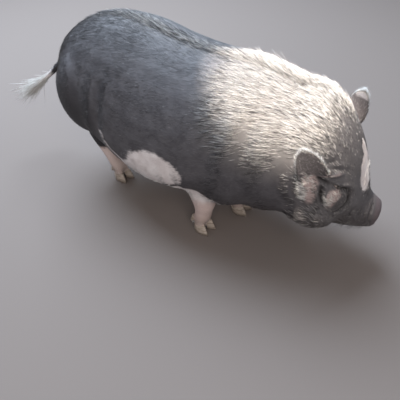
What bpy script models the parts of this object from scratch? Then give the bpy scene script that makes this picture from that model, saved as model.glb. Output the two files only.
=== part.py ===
"""A grown pot-bellied pig, life size, standing with its head lowered and turned a little to its left.

Metres. +X runs from tail to snout, +Y is the pig's left side and +Z is up. The floor is z = 0.
The flesh is modelled whole and straight, from rounded sections along named stations, then bent to the left at
the neck. Solid blades part it into the pieces a person would name. Hooves, ears, eyes and tail are solids of
their own. Last, the whole animal moves so that the origin is under the middle of its bounding box.
"""

import math

import bmesh
import bpy
from mathutils import Matrix, Vector

# Driving dimensions. Everything below is drawn for a body one metre long, and LIFE_SIZE brings it to its real
# size.
LIFE_SIZE = 0.92
# The cuts that part the flesh are this wide, and pieces trimmed to a neighbour clear it by this much.
GAP = 0.0005
TRIM_GAP = 0.0009
# How finely the one skin is meshed, then how many triangles it keeps.
VOXEL = 0.0065
BODY_TRIANGLES = 4400
SIDES = 32
RINGS_PER_SPAN = 4
# The stretch of the spine, in X, over which the neck bends to the left, and by how much.
BEND_FROM, BEND_TO, BEND_DEGREES = 0.20, 0.42, 16.0

# Linear colours.
DARK_HIDE = (0.052, 0.050, 0.058)
PALE_HIDE = (0.36, 0.24, 0.21)
WHITE_HAIR = (0.62, 0.62, 0.58)
HORN = (0.46, 0.40, 0.30)
EYE = (0.010, 0.007, 0.006)

# The stations of the trunk, neck and head. Each is a section square to the spine:
# x, z of its middle, the section's lean in degrees (0 is upright, negative leans the top forward),
# how far it reaches up, down and sideways, and how low its widest place sits as a share of its half height.
SPINE = {
    "rump": (-0.350, 0.320, 10, 0.128, 0.108, 0.125, 0.10),
    "croup": (-0.290, 0.315, 6, 0.172, 0.135, 0.160, 0.10),
    "hips": (-0.210, 0.310, 3, 0.205, 0.165, 0.185, 0.10),
    "loin": (-0.110, 0.295, 0, 0.221, 0.185, 0.205, 0.15),
    "belly": (0.000, 0.277, 0, 0.219, 0.185, 0.215, 0.20),
    "ribs": (0.110, 0.275, 0, 0.212, 0.172, 0.207, 0.18),
    "shoulders": (0.210, 0.280, -4, 0.209, 0.160, 0.187, 0.10),
    "neck": (0.295, 0.275, -12, 0.196, 0.182, 0.165, 0.05),
    "nape": (0.355, 0.262, -20, 0.192, 0.184, 0.148, 0.00),
    "brow": (0.425, 0.222, -35, 0.129, 0.132, 0.124, 0.00),
    "cheeks": (0.470, 0.185, -42, 0.080, 0.112, 0.092, 0.00),
    "muzzle": (0.520, 0.150, -30, 0.046, 0.074, 0.062, 0.10),
    "snout": (0.570, 0.132, -14, 0.035, 0.036, 0.039, 0.00),
}

# Rounded masses under the hide: middle, half sizes, and lean about Y in degrees. Each is on both sides.
MASSES = {
    "ham": ((-0.245, 0.098, 0.308), (0.122, 0.085, 0.130), 12),
    "shoulder": ((0.200, 0.108, 0.260), (0.105, 0.082, 0.135), 0),
    "jowl": ((0.392, 0.072, 0.180), (0.084, 0.066, 0.055), 25),
    "cheek": ((0.455, 0.074, 0.198), (0.036, 0.030, 0.030), 40),
    "brow_ridge": ((0.452, 0.062, 0.272), (0.030, 0.036, 0.020), 45),
    "ear_root": ((0.418, 0.104, 0.300), (0.030, 0.022, 0.030), 0),
}

# Leg sections from the top down: x, y, z, half length fore and aft, half width.
FORELEG = {
    "elbow": (-0.010, 0.012, 0.200, 0.062, 0.050),
    "forearm": (-0.004, 0.006, 0.140, 0.046, 0.041),
    "knee": (0.004, 0.002, 0.098, 0.034, 0.034),
    "cannon": (0.000, 0.000, 0.070, 0.027, 0.030),
    "fetlock": (-0.002, 0.000, 0.048, 0.027, 0.031),
}
HINDLEG = {
    "stifle": (-0.045, 0.010, 0.215, 0.080, 0.055),
    "gaskin": (-0.066, 0.004, 0.165, 0.054, 0.041),
    "hock": (-0.070, 0.000, 0.125, 0.038, 0.032),
    "cannon": (-0.042, 0.000, 0.085, 0.027, 0.028),
    "fetlock": (-0.014, 0.000, 0.050, 0.027, 0.031),
}
# Where each foot stands, x and y, and how far it turns outward in degrees.
FEET = {
    "foreleg_right": (0.150, -0.112, 6),
    "foreleg_left": (0.195, 0.018, 4),
    "hindleg_right": (-0.203, -0.062, 4),
    "hindleg_left": (-0.240, 0.095, 6),
}
# The two claws of a foot, in its own frame.
CLAW_REACH = 0.031
CLAW_HEEL = 0.021
CLAW_HALF_WIDTH = 0.0125
CLAW_SPREAD = 0.0145
CLAW_SPLAY = 7
CORONET_HEIGHT = 0.026
CORONET_SLOPE = 14
CORONET_SETBACK = 0.004

# Planes that part the neck from the trunk, the head from the neck and the disc from the muzzle:
# a point in X and Z, and the plane's lean in degrees.
COLLAR = (0.262, 0.300), -12
POLL = (0.350, 0.300), -18
DISC = (0.558, 0.134), -14
# The mouth: the block below this outline is the lower jaw.
MOUTH = ((0.620, 0.113), (0.480, 0.138), (0.445, 0.040), (0.620, 0.040))
NOSTRIL_RADIUS = 0.0065
NOSTRIL_APART = 0.030
NOSTRIL_DEPTH = 0.012

EYE_RADIUS = 0.0115
EYE_PLACE = (0.447, 0.105, 0.270)
# Each ear: where its base is, and how far it leans outward, leans back and opens to the side, in degrees.
EARS = {
    "ear_right": ((0.400, -0.126, 0.298), 22, 26, 62),
    "ear_left": ((0.447, 0.119, 0.304), 25, -17, 78),
}
EAR_LENGTH = 0.093
EAR_HALF_WIDTH = 0.035
EAR_THICKNESS = 0.0075

# The cuff of each leg, where it parts from the trunk: the block's reach fore and aft of the foot,
# inward and outward of it, and the height of its top at the inner and the outer edge.
CUFFS = {
    "foreleg_right": (0.062, 0.065, 0.045, 0.085, 0.088, 0.145),
    "foreleg_left": (0.055, 0.062, 0.045, 0.065, 0.088, 0.110),
    "hindleg_right": (0.036, 0.180, 0.045, 0.110, 0.112, 0.170),
    "hindleg_left": (0.036, 0.180, 0.045, 0.110, 0.112, 0.170),
}

# The tail from root to the end of its flesh, then its switch of hair: x, y, z and radius.
TAIL = (
    (-0.385, 0.000, 0.372, 0.0170),
    (-0.425, -0.025, 0.340, 0.0140),
    (-0.465, -0.060, 0.295, 0.0110),
    (-0.502, -0.085, 0.262, 0.0085),
)
SWITCH = (
    (-0.5025, -0.0853, 0.2617, 0.0080),
    (-0.530, -0.102, 0.238, 0.0170),
    (-0.568, -0.124, 0.210, 0.0160),
    (-0.610, -0.148, 0.180, 0.0020),
)


def clear_scene():
    """Removes whatever the scene already holds."""
    for obj in list(bpy.data.objects):
        bpy.data.objects.remove(obj)


def smooth_between(stations, spans):
    """Rows on a smooth curve through the stations' numbers, with this many rows to a span."""
    rows = [Vector(row) for row in stations]
    ends = [2 * rows[0] - rows[1], *rows, 2 * rows[-1] - rows[-2]]
    made = []
    for i in range(len(rows) - 1):
        before, here, there, after = ends[i : i + 4]
        for step in range(spans):
            t = step / spans
            made.append(
                0.5
                * (
                    2 * here
                    + (there - before) * t
                    + (2 * before - 5 * here + 4 * there - after) * t**2
                    + (3 * here - before - 3 * there + after) * t**3
                )
            )
    return [*made, rows[-1]]


def object_of(shape, name):
    """Turns a bmesh into a linked object whose faces point outward."""
    bmesh.ops.recalc_face_normals(shape, faces=shape.faces)
    mesh = bpy.data.meshes.new(name)
    shape.to_mesh(mesh)
    shape.free()
    obj = bpy.data.objects.new(name, mesh)
    bpy.context.scene.collection.objects.link(obj)
    return obj


def skin_rings(rings, name):
    """One closed mesh object from rings of points, with a fan over each end."""
    shape = bmesh.new()
    loops = [[shape.verts.new(p) for p in ring] for ring in rings]
    for one, other in zip(loops, loops[1:]):
        for i in range(len(one)):
            k = (i + 1) % len(one)
            shape.faces.new((one[i], one[k], other[k], other[i]))
    for loop in (loops[0], loops[-1]):
        middle = shape.verts.new(sum((v.co for v in loop), Vector()) / len(loop))
        for i in range(len(loop)):
            shape.faces.new((loop[i], loop[(i + 1) % len(loop)], middle))
    return object_of(shape, name)


def body_section(row):
    """The ring of one station of the spine."""
    x, z, lean, up, down, wide, low = row
    lean = math.radians(lean)
    along_up = Vector((-math.sin(lean), 0, math.cos(lean)))
    widest = -low * (up + down) / 2
    ring = []
    for i in range(SIDES):
        turn = 2 * math.pi * i / SIDES
        rise = math.sin(turn)
        height = widest + (up - widest if rise > 0 else down + widest) * rise
        ring.append(Vector((x, wide * math.cos(turn), z)) + along_up * height)
    return ring


def domed_end(ring, towards, depth, start=0.0, steps=4):
    """Rings that close a loft in a dome of this depth, the last one small. It can start part way round."""
    middle = sum(ring, Vector()) / len(ring)
    first = math.radians(start)
    made = []
    for i in range(1, steps + 1):
        turn = first + (math.pi / 2 - first) * i / (steps + 0.4)
        rise = (math.sin(turn) - math.sin(first)) / (1 - math.sin(first))
        size = math.cos(turn) / math.cos(first)
        made.append([middle + (p - middle) * size + towards * depth * rise for p in ring])
    return made


def make_barrel():
    """Trunk, neck and head as one long loft."""
    rows = smooth_between(SPINE.values(), RINGS_PER_SPAN)
    rings = [body_section(row) for row in rows]
    rump_lean = math.radians(SPINE["rump"][2])
    backward = Vector((-math.cos(rump_lean), 0, -math.sin(rump_lean)))
    rings = [*reversed(domed_end(rings[0], backward, 0.055, 38, 6)), *rings]
    return skin_rings(rings, "barrel")


def make_mass(name, middle, half_sizes, lean, side):
    """An ellipsoid under the hide, on the side that the sign says."""
    bpy.ops.mesh.primitive_uv_sphere_add(segments=24, ring_count=16, radius=1)
    obj = bpy.context.object
    obj.name = f"{name}_mass"
    place = Matrix.Translation((middle[0], middle[1] * side, middle[2]))
    turn = Matrix.Rotation(math.radians(lean), 4, "Y")
    obj.data.transform(place @ turn @ Matrix.Diagonal((*half_sizes, 1)))
    return obj


def foot_frame(name):
    """The frame of one foot: its origin on the floor, +X towards its toes."""
    x, y, outward = FEET[name]
    turn = math.radians(outward if y > FEET[name.replace("left", "right")][1] else -outward)
    return Matrix.Translation((x, y, 0)) @ Matrix.Rotation(turn, 4, "Z")


def leg_rings(name):
    """Rings of one leg, from inside the trunk down to the fetlock."""
    foot_x, foot_y, _ = FEET[name]
    side = 1 if name.endswith("left") else -1
    sections = FORELEG if name.startswith("fore") else HINDLEG
    rings = []
    for x, y, z, long, wide in smooth_between(sections.values(), RINGS_PER_SPAN):
        middle = Vector((foot_x + x, foot_y + side * y, z))
        ring = []
        for i in range(SIDES // 2):
            turn = 4 * math.pi * i / SIDES
            ring.append(middle + Vector((long * math.cos(turn), wide * math.sin(turn), 0)))
        rings.append(ring)
    return rings


def make_leg(name):
    """The flesh of one leg down to the fetlock."""
    rings = leg_rings(name)
    rings = [*reversed(domed_end(rings[0], Vector((0, 0, 1)), 0.05)), *rings]
    return skin_rings([*rings, *domed_end(rings[-1], Vector((0, 0, -1)), 0.015)], name + "_flesh")


def claw_outline(height, reach, heel, half_width):
    """One claw seen from above at this height, in the claw's own frame: round heel, pointed toe."""
    ring = []
    for i in range(SIDES // 2):
        turn = 4 * math.pi * i / SIDES
        forward, across = math.cos(turn), math.sin(turn)
        taper = 1 - 0.45 * max(forward, 0) ** 1.5
        along = reach * forward if forward > 0 else heel * forward
        ring.append(Vector((along, half_width * taper * across, height)))
    return ring


def claw_place(name, side):
    """The frame of the outer or inner claw of a foot."""
    splay = Matrix.Rotation(math.radians(CLAW_SPLAY * side), 4, "Z")
    return foot_frame(name) @ Matrix.Translation((0, CLAW_SPREAD * side, 0)) @ splay


def coronet_ring(lower, size=1.0):
    """The claw's upper edge, on a plane that rises towards the toe, this much lower than the true coronet."""
    ring = claw_outline(CORONET_HEIGHT - lower, 0.019 * size, 0.020 * size, 0.0120 * size)
    slope = math.tan(math.radians(CORONET_SLOPE))
    ring = [p - Vector((CORONET_SETBACK, 0, 0)) for p in ring]
    return [p + Vector((0, 0, slope * p.x)) for p in ring]


def make_toe(name, side):
    """The flesh above one claw. It reaches a little below the coronet, where a blade trims it."""
    rings = [
        [p + Vector((-0.004, -0.006 * side, 0.030)) for p in coronet_ring(0, 0.85)],
        [p + Vector((-0.001, -0.002 * side, 0.014)) for p in coronet_ring(0, 1.04)],
        coronet_ring(0, 1.0),
        coronet_ring(0.010, 1.0),
    ]
    toe = skin_rings(rings, f"{name}_toe")
    toe.data.transform(claw_place(name, side))
    return toe


def make_claw(name, side, label):
    """The horn of one claw, with a flat sole on the floor."""
    rings = [
        claw_outline(0.0, CLAW_REACH, CLAW_HEEL, CLAW_HALF_WIDTH),
        claw_outline(0.006, CLAW_REACH - 0.002, CLAW_HEEL + 0.001, CLAW_HALF_WIDTH + 0.0004),
        coronet_ring(GAP, 1.02),
    ]
    claw = skin_rings(rings, f"{name.replace('leg', 'hoof')}_{label}")
    claw.data.transform(claw_place(name, side))
    return claw


def make_dewclaw(name, side, label):
    """The small horn behind the fetlock. Its upper end is inside the flesh until it is trimmed."""
    place = foot_frame(name) @ Matrix.Translation((-0.024, 0.016 * side, 0.041))
    place = place @ Matrix.Rotation(math.radians(28), 4, "Y")
    rings = []
    for height, size in ((0.012, 0.0075), (0.002, 0.0080), (-0.010, 0.0062), (-0.019, 0.0030)):
        ring = []
        for i in range(8):
            turn = 2 * math.pi * i / 8
            ring.append(Vector((size * math.cos(turn), size * math.sin(turn) * 0.85, height)))
        rings.append(ring)
    dewclaw = skin_rings(rings, f"{name.replace('leg', 'dewclaw')}_{label}")
    dewclaw.data.transform(place)
    return dewclaw


def box_of(name, outline, half_width):
    """A solid plate: an outline in X and Z, carried this far to both sides."""
    shape = bmesh.new()
    near = [shape.verts.new((x, -half_width, z)) for x, z in outline]
    far = [shape.verts.new((x, half_width, z)) for x, z in outline]
    shape.faces.new(near)
    shape.faces.new(far)
    for i in range(len(outline)):
        k = (i + 1) % len(outline)
        shape.faces.new((near[i], near[k], far[k], far[i]))
    return object_of(shape, name)


def select_only(obj):
    bpy.ops.object.select_all(action="DESELECT")
    obj.select_set(True)
    bpy.context.view_layer.objects.active = obj


def apply_all(obj):
    """Applies every modifier, from first to last."""
    select_only(obj)
    for modifier in list(obj.modifiers):
        bpy.ops.object.modifier_apply(modifier=modifier.name)


def join(objects, name):
    """Makes one object of several."""
    select_only(objects[0])
    for obj in objects:
        obj.select_set(True)
    bpy.ops.object.join()
    objects[0].name = name
    return objects[0]


def copy_of(obj, name):
    twin = bpy.data.objects.new(name, obj.data.copy())
    bpy.context.scene.collection.objects.link(twin)
    return twin


def boolean(obj, other, operation):
    """Applies one exact Boolean and keeps only the biggest body that it leaves."""
    modifier = obj.modifiers.new(operation.lower(), "BOOLEAN")
    modifier.operation = operation
    modifier.solver = "EXACT"
    modifier.object = other
    apply_all(obj)
    shape = bmesh.new()
    shape.from_mesh(obj.data)
    left = set(shape.verts)
    bodies = []
    while left:
        reached = {left.pop()}
        edge = list(reached)
        while edge:
            for link in edge.pop().link_edges:
                for vert in link.verts:
                    if vert in left:
                        left.remove(vert)
                        reached.add(vert)
                        edge.append(vert)
        bodies.append(reached)
    bodies.sort(key=len)
    for body in bodies[:-1]:
        bmesh.ops.delete(shape, geom=list(body), context="VERTS")
    shape.to_mesh(obj.data)
    shape.free()


def grown(obj, amount):
    """A copy of a solid whose surface stands this far outside it."""
    twin = copy_of(obj, obj.name + "_grown")
    puff = twin.modifiers.new("puff", "DISPLACE")
    puff.mid_level = 0
    puff.strength = amount
    apply_all(twin)
    return twin


def part_off(whole, name, blade, wide_blade):
    """Takes the part of a solid inside a blade off as a solid of its own, leaving a thin gap."""
    piece = copy_of(whole, name)
    boolean(piece, blade, "INTERSECT")
    boolean(whole, wide_blade, "DIFFERENCE")
    bpy.data.objects.remove(blade)
    bpy.data.objects.remove(wide_blade)
    return piece


def trim(obj, neighbour):
    """Cuts a solid back so that it clears its neighbour."""
    cutter = grown(neighbour, TRIM_GAP)
    boolean(obj, cutter, "DIFFERENCE")
    bpy.data.objects.remove(cutter)


def make_body():
    """The flesh of the whole animal in one skin, before it is parted."""
    pieces = [make_barrel()]
    for name, (middle, half_sizes, lean) in MASSES.items():
        pieces += [make_mass(name, middle, half_sizes, lean, side) for side in (-1, 1)]
    for name in FEET:
        pieces += [make_leg(name), make_toe(name, -1), make_toe(name, 1)]
    body = join(pieces, "trunk")
    remesh = body.modifiers.new("one_skin", "REMESH")
    remesh.mode = "VOXEL"
    remesh.voxel_size = VOXEL
    soften = body.modifiers.new("soften", "SMOOTH")
    soften.factor = 0.5
    soften.iterations = 10
    apply_all(body)
    thin_out = body.modifiers.new("thin_out", "DECIMATE")
    thin_out.ratio = BODY_TRIANGLES / (2 * len(body.data.polygons))
    apply_all(body)
    bend(body)
    return body


def half_space(name, station, lean, back=0.0):
    """A big block that holds all that lies ahead of a leaning plane across the spine."""
    x, z = station
    along = Vector((-math.sin(math.radians(lean)), math.cos(math.radians(lean))))
    ahead = Vector((along.y, -along.x))
    foot = Vector((x, z)) - ahead * back
    near, far = foot - along * 0.5, foot + along * 0.5
    corners = [near, near + ahead, far + ahead, far]
    block = box_of(name, corners, 0.5)
    block.data.transform(spine_frame(x))
    return block


def coronet_blade(name):
    """A wide wedge under one foot that holds all that lies below the plane of its coronets."""
    slope = math.tan(math.radians(CORONET_SLOPE))
    ends = [(x, CORONET_HEIGHT + slope * x) for x in (-0.07, 0.07)]
    blade = box_of("blade", [(-0.07, -0.05), (0.07, -0.05), ends[1], ends[0]], 0.055)
    blade.data.transform(foot_frame(name))
    return blade


def make_eye(side):
    bpy.ops.mesh.primitive_uv_sphere_add(segments=14, ring_count=9, radius=EYE_RADIUS)
    eye = bpy.context.object
    eye.name = "eye_left" if side > 0 else "eye_right"
    place = Matrix.Translation((EYE_PLACE[0], EYE_PLACE[1] * side, EYE_PLACE[2]))
    eye.data.transform(spine_frame(BEND_TO) @ place)
    return eye


def make_ear(name, side):
    """A cupped leaf, thick at the base and thin at the tip, standing on the side of the head."""
    base, lean_out, lean_back, open_turn = EARS[name]
    across, along = 8, 8
    shape = bmesh.new()
    grid = []
    for j in range(along + 1):
        rise = j / along
        half = EAR_HALF_WIDTH * math.sin(math.pi * (0.30 + 0.70 * rise) ** 1.15) ** 0.62
        half = max(half, 0.004)
        row = []
        for i in range(across + 1):
            u = 2 * i / across - 1
            cup = (1.25 - 0.65 * rise) * u
            y = half * math.sin(cup) / max(math.sin(1.25 - 0.65 * rise), 0.3)
            x = -0.030 * (1 - 0.45 * rise) * (1 - math.cos(cup)) * half / EAR_HALF_WIDTH
            x += 0.010 * rise**2
            row.append(shape.verts.new((x, y, EAR_LENGTH * rise)))
        grid.append(row)
    for j in range(along):
        for i in range(across):
            shape.faces.new((grid[j][i], grid[j][i + 1], grid[j + 1][i + 1], grid[j + 1][i]))
    ear = object_of(shape, name)
    wall = ear.modifiers.new("wall", "SOLIDIFY")
    wall.thickness = EAR_THICKNESS
    wall.offset = 0
    wall.use_even_offset = False
    apply_all(ear)
    place = Matrix.Translation((base[0], base[1], base[2]))
    place = place @ Matrix.Rotation(math.radians(-lean_out * side), 4, "X")
    place = place @ Matrix.Rotation(math.radians(-lean_back), 4, "Y")
    place = place @ Matrix.Rotation(math.radians(180 + open_turn * side), 4, "Z")
    ear.data.transform(spine_frame(BEND_TO) @ place)
    return ear


def tube(name, stations, squash=1.0):
    """A closed tube along a curve through the stations: x, y, z and radius."""
    rows = smooth_between(stations, 3)
    rings = []
    for i, row in enumerate(rows):
        here = row.xyz
        ahead = (rows[min(i + 1, len(rows) - 1)].xyz - rows[max(i - 1, 0)].xyz).normalized()
        sideways = ahead.cross(Vector((0, 0, 1))).normalized()
        upward = sideways.cross(ahead)
        ring = []
        for k in range(10):
            turn = 2 * math.pi * k / 10
            ring.append(
                here
                + sideways * (row.w * math.cos(turn))
                + upward * (row.w * squash * math.sin(turn))
            )
        rings.append(ring)
    return skin_rings(rings, name)


def spine_frame(x):
    """The rigid move from this x on the straight spine to its place on the bent one."""
    turn = math.radians(BEND_DEGREES)
    radius = (BEND_TO - BEND_FROM) / turn
    angle = turn * min(max((x - BEND_FROM) / (BEND_TO - BEND_FROM), 0), 1)
    middle = Vector((BEND_FROM + radius * math.sin(angle), radius - radius * math.cos(angle), 0))
    on_arc = min(max(x, BEND_FROM), BEND_TO)
    return (
        Matrix.Translation(middle)
        @ Matrix.Rotation(angle, 4, "Z")
        @ Matrix.Translation((-on_arc, 0, 0))
    )


def bend(obj):
    """Bends the neck of a straight solid."""
    for vert in obj.data.vertices:
        vert.co = spine_frame(vert.co.x) @ vert.co


def settle(nodes):
    """Brings the origin under the middle of the bounding box, and the animal to its real size."""
    points = [vert.co for node in nodes for vert in node.data.vertices]
    low = Vector([min(p[k] for p in points) for k in range(3)])
    high = Vector([max(p[k] for p in points) for k in range(3)])
    shift = Vector((-(low.x + high.x) / 2, -(low.y + high.y) / 2, 0))
    for node in nodes:
        node.data.transform(Matrix.Scale(LIFE_SIZE, 4) @ Matrix.Translation(shift))
        node.data.update()


def paint(node, name, colour, roughness):
    """Gives one node a material of its own."""
    material = bpy.data.materials.new(f"{node.name}_{name}")
    material.use_nodes = True
    shader = material.node_tree.nodes["Principled BSDF"]
    shader.inputs["Base Color"].default_value = (*colour, 1)
    shader.inputs["Roughness"].default_value = roughness
    node.data.materials.clear()
    node.data.materials.append(material)


def cuff_blade(name, gap):
    """A block round one leg whose top, a sloping plane, is where the leg parts from the trunk."""
    foot_x, foot_y, _ = FEET[name]
    side = 1 if name.endswith("left") else -1
    ahead, behind, inward, outward, low, high = CUFFS[name]
    outline = [(-inward, -0.05), (outward, -0.05), (outward, high + gap), (-inward, low + gap)]
    shape = bmesh.new()
    ends = []
    for x in (foot_x - behind - gap, foot_x + ahead + gap):
        ends.append([shape.verts.new((x, foot_y + side * y, z)) for y, z in outline])
    shape.faces.new(ends[0])
    shape.faces.new(ends[1])
    for i in range(4):
        k = (i + 1) % 4
        shape.faces.new((ends[0][i], ends[0][k], ends[1][k], ends[1][i]))
    return object_of(shape, "blade")


def part_flesh(trunk):
    """Parts the one skin into trunk, neck, head, disc, lower jaw and legs."""
    parts = {"trunk": trunk}
    for name in FEET:
        blade = coronet_blade(name)
        boolean(trunk, blade, "DIFFERENCE")
        bpy.data.objects.remove(blade)
        parts[name] = part_off(trunk, name, cuff_blade(name, 0), cuff_blade(name, GAP))
    whole = trunk
    for name, plane in (("neck", COLLAR), ("head", POLL), ("snout", DISC)):
        blades = half_space("blade", *plane), half_space("wide_blade", *plane, back=GAP)
        parts[name] = whole = part_off(whole, name, *blades)
    raised = [(x, z + GAP * (1 if z > 0.05 else 0)) for x, z in MOUTH]
    raised[1] = (MOUTH[1][0] - GAP, raised[1][1])
    raised[2] = (MOUTH[2][0] - GAP, raised[2][1])
    blades = box_of("blade", MOUTH, 0.2), box_of("wide_blade", raised, 0.2)
    for blade in blades:
        blade.data.transform(spine_frame(BEND_TO))
    parts["lower_jaw"] = part_off(parts["head"], "lower_jaw", *blades)
    return parts


def sink_nostrils(snout):
    (x, z), lean = DISC
    for side in (-1, 1):
        bpy.ops.mesh.primitive_cylinder_add(vertices=16, radius=NOSTRIL_RADIUS, depth=0.06)
        drill = bpy.context.object
        drill.data.transform(Matrix.Diagonal((1.25, 0.9, 1, 1)))
        drill.data.transform(Matrix.Rotation(math.radians(90 - lean), 4, "Y"))
        reach = 0.570 - NOSTRIL_DEPTH + 0.03
        place = Matrix.Translation((reach, NOSTRIL_APART / 2 * side, z))
        drill.data.transform(spine_frame(BEND_TO) @ place)
        boolean(snout, drill, "DIFFERENCE")
        bpy.data.objects.remove(drill)


def build():
    parts = part_flesh(make_body())
    head = parts["head"]
    sink_nostrils(parts["snout"])
    for side in (-1, 1):
        eye = make_eye(side)
        socket = grown(eye, GAP)
        boolean(head, socket, "DIFFERENCE")
        bpy.data.objects.remove(socket)
        parts[eye.name] = eye
    for name in EARS:
        parts[name] = make_ear(name, 1 if name.endswith("left") else -1)
        for flesh in ("head", "neck"):
            trim(parts[name], parts[flesh])
    parts["tail"] = tube("tail", TAIL)
    trim(parts["tail"], parts["trunk"])
    parts["tail_switch"] = tube("tail_switch", SWITCH, 0.8)
    for name in FEET:
        for side, label in ((-1, "right"), (1, "left")):
            for make in (make_claw, make_dewclaw):
                horn = make(name, side, label)
                if make is make_dewclaw:
                    trim(horn, parts[name])
                parts[horn.name] = horn
    settle(list(parts.values()))
    for name, part in parts.items():
        if "hoof" in name or "dewclaw" in name:
            paint(part, "horn", HORN, 0.45)
        elif name.startswith("eye"):
            paint(part, "eye", EYE, 0.1)
        elif "leg" in name:
            paint(part, "hide", PALE_HIDE, 0.7)
        elif name == "tail_switch":
            paint(part, "hair", WHITE_HAIR, 0.6)
        else:
            paint(part, "hide", DARK_HIDE, 0.7)


clear_scene()
build()
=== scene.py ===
# %% [markdown]
# # A pot-bellied pig
#
# The pig stands with its head low and turned a little to its left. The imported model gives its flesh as
# plain solids. Here one living skin goes over them, with folds round the eyes and muzzle. A coat of
# coarse bristles grows from that skin. Eyes and horn claws get finer shapes in the places that the solids
# hold.

import math

import bpy
import numpy as np
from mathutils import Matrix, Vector


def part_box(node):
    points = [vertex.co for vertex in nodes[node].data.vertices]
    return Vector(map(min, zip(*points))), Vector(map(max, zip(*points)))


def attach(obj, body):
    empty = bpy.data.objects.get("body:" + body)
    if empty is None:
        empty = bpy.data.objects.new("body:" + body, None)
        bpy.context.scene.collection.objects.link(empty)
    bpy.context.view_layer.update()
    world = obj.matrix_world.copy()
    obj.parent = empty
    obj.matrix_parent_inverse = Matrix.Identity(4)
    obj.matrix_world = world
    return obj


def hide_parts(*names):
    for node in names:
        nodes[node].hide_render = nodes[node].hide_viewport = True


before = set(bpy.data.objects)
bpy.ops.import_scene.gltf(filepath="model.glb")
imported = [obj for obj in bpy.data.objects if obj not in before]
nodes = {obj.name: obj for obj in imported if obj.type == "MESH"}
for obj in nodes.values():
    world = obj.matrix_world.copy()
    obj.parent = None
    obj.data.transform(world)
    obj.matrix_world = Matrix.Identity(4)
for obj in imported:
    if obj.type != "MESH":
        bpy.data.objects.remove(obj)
bpy.ops.object.select_all(action="DESELECT")
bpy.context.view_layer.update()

# %% [markdown]
# ## Floor, light and camera
#
# The floor is plain and of a greyish sand colour, so that it takes no attention from the pig. A large
# cool lamp behind the pig stands for the sky, and a weaker warm one in front opens the shadows. A round
# warm lamp high above shines on the neck and shoulders alone, as sun through a gap would. It is linked to
# the pig only, so that the floor stays plain. The camera stands to the right of the pig's head and looks
# down on it.

# %% Camera
CAMERA_PLACE = Vector((0.6268, -0.8038, 0.8200))
CAMERA_TARGET = Vector((0.0338, 0.0571, -0.0736))
LENS_MM = 39.77
SENSOR_MM = 36

view = bpy.data.cameras.new("camera")
view.lens = LENS_MM
view.sensor_width = SENSOR_MM
camera = bpy.data.objects.new("camera", view)
camera.location = CAMERA_PLACE
camera.rotation_euler = (CAMERA_TARGET - CAMERA_PLACE).to_track_quat("-Z", "Y").to_euler()
bpy.context.scene.collection.objects.link(camera)
bpy.context.scene.camera = camera
print("the camera is", round((CAMERA_TARGET - CAMERA_PLACE).length, 2), "m from its target")

# %% Floor and lights
FLOOR_SIDE = 12.0
FLOOR_COLOUR = (0.155, 0.128, 0.114, 1)

bpy.ops.mesh.primitive_plane_add(size=FLOOR_SIDE)
floor = bpy.context.object
floor.name = "floor"
floor_paint = bpy.data.materials.new("plain_floor")
floor_paint.use_nodes = True
floor_shader = floor_paint.node_tree.nodes["Principled BSDF"]
floor_shader.inputs["Base Color"].default_value = FLOOR_COLOUR
floor_shader.inputs["Roughness"].default_value = 0.9
floor.data.materials.append(floor_paint)


def add_light(name, kind, place, target, power, colour, **settings):
    """A lamp at one place that shines at another."""
    lamp = bpy.data.lights.new(name, kind)
    lamp.energy = power
    lamp.color = colour
    for key, value in settings.items():
        setattr(lamp, key, value)
    light = bpy.data.objects.new(name, lamp)
    light.location = place
    light.rotation_euler = (Vector(target) - Vector(place)).to_track_quat("-Z", "Y").to_euler()
    bpy.context.scene.collection.objects.link(light)
    return light


SKY_WATTS, FILL_WATTS, SUN_WATTS = 310, 52, 1950
COOL, WARM, SUNNY = (0.70, 0.84, 1.0), (1.0, 0.93, 0.87), (1.0, 0.92, 0.82)
SUN_MIDDLE = Vector((0.285, -0.002, 0.404))
SUN_FROM = Vector((-0.20, -0.22, 0.85)).normalized()
SUN_DISTANCE = 3.0
SUN_REACH = 0.156
WORLD_COLOUR, WORLD_STRENGTH = (0.90, 0.93, 1.0, 1), 0.52

add_light("sky_light", "AREA", (-1.5, 0.7, 2.7), (0, 0, 0.2), SKY_WATTS, COOL, size=2.4)
add_light("fill_light", "AREA", (1.9, -2.2, 2.2), (0.1, 0, 0.2), FILL_WATTS, WARM, size=2.0)
sun = add_light(
    "shoulder_light", "SPOT", SUN_MIDDLE + SUN_DISTANCE * SUN_FROM, SUN_MIDDLE, SUN_WATTS, SUNNY,
    spot_size=2 * math.atan(SUN_REACH / SUN_DISTANCE), spot_blend=0.10, shadow_soft_size=0.03,
)
lit = bpy.data.collections.new("lit_by_the_shoulder_light")
sun.light_linking.receiver_collection = lit
world = bpy.data.worlds.new("studio")
world.use_nodes = True
world.node_tree.nodes["Background"].inputs["Color"].default_value = WORLD_COLOUR
world.node_tree.nodes["Background"].inputs["Strength"].default_value = WORLD_STRENGTH
bpy.context.scene.world = world
bpy.context.scene.view_settings.view_transform = "Standard"

# %% [markdown]
# ## The pig laid straight
#
# The neck bends to the left, which would make every place on the head awkward to give. So the skin is
# worked on a straight copy: `straighten` undoes the bend, and `bend` brings it back. In the straight pig
# X runs along the spine, Y is the distance to its left of the middle and Z the height, all in metres.

# %% Straighten and bend
NECK_FROM, NECK_TO = 0.2022, 0.4046
NECK_TURN = math.radians(16)
NECK_RADIUS = (NECK_TO - NECK_FROM) / NECK_TURN


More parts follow.
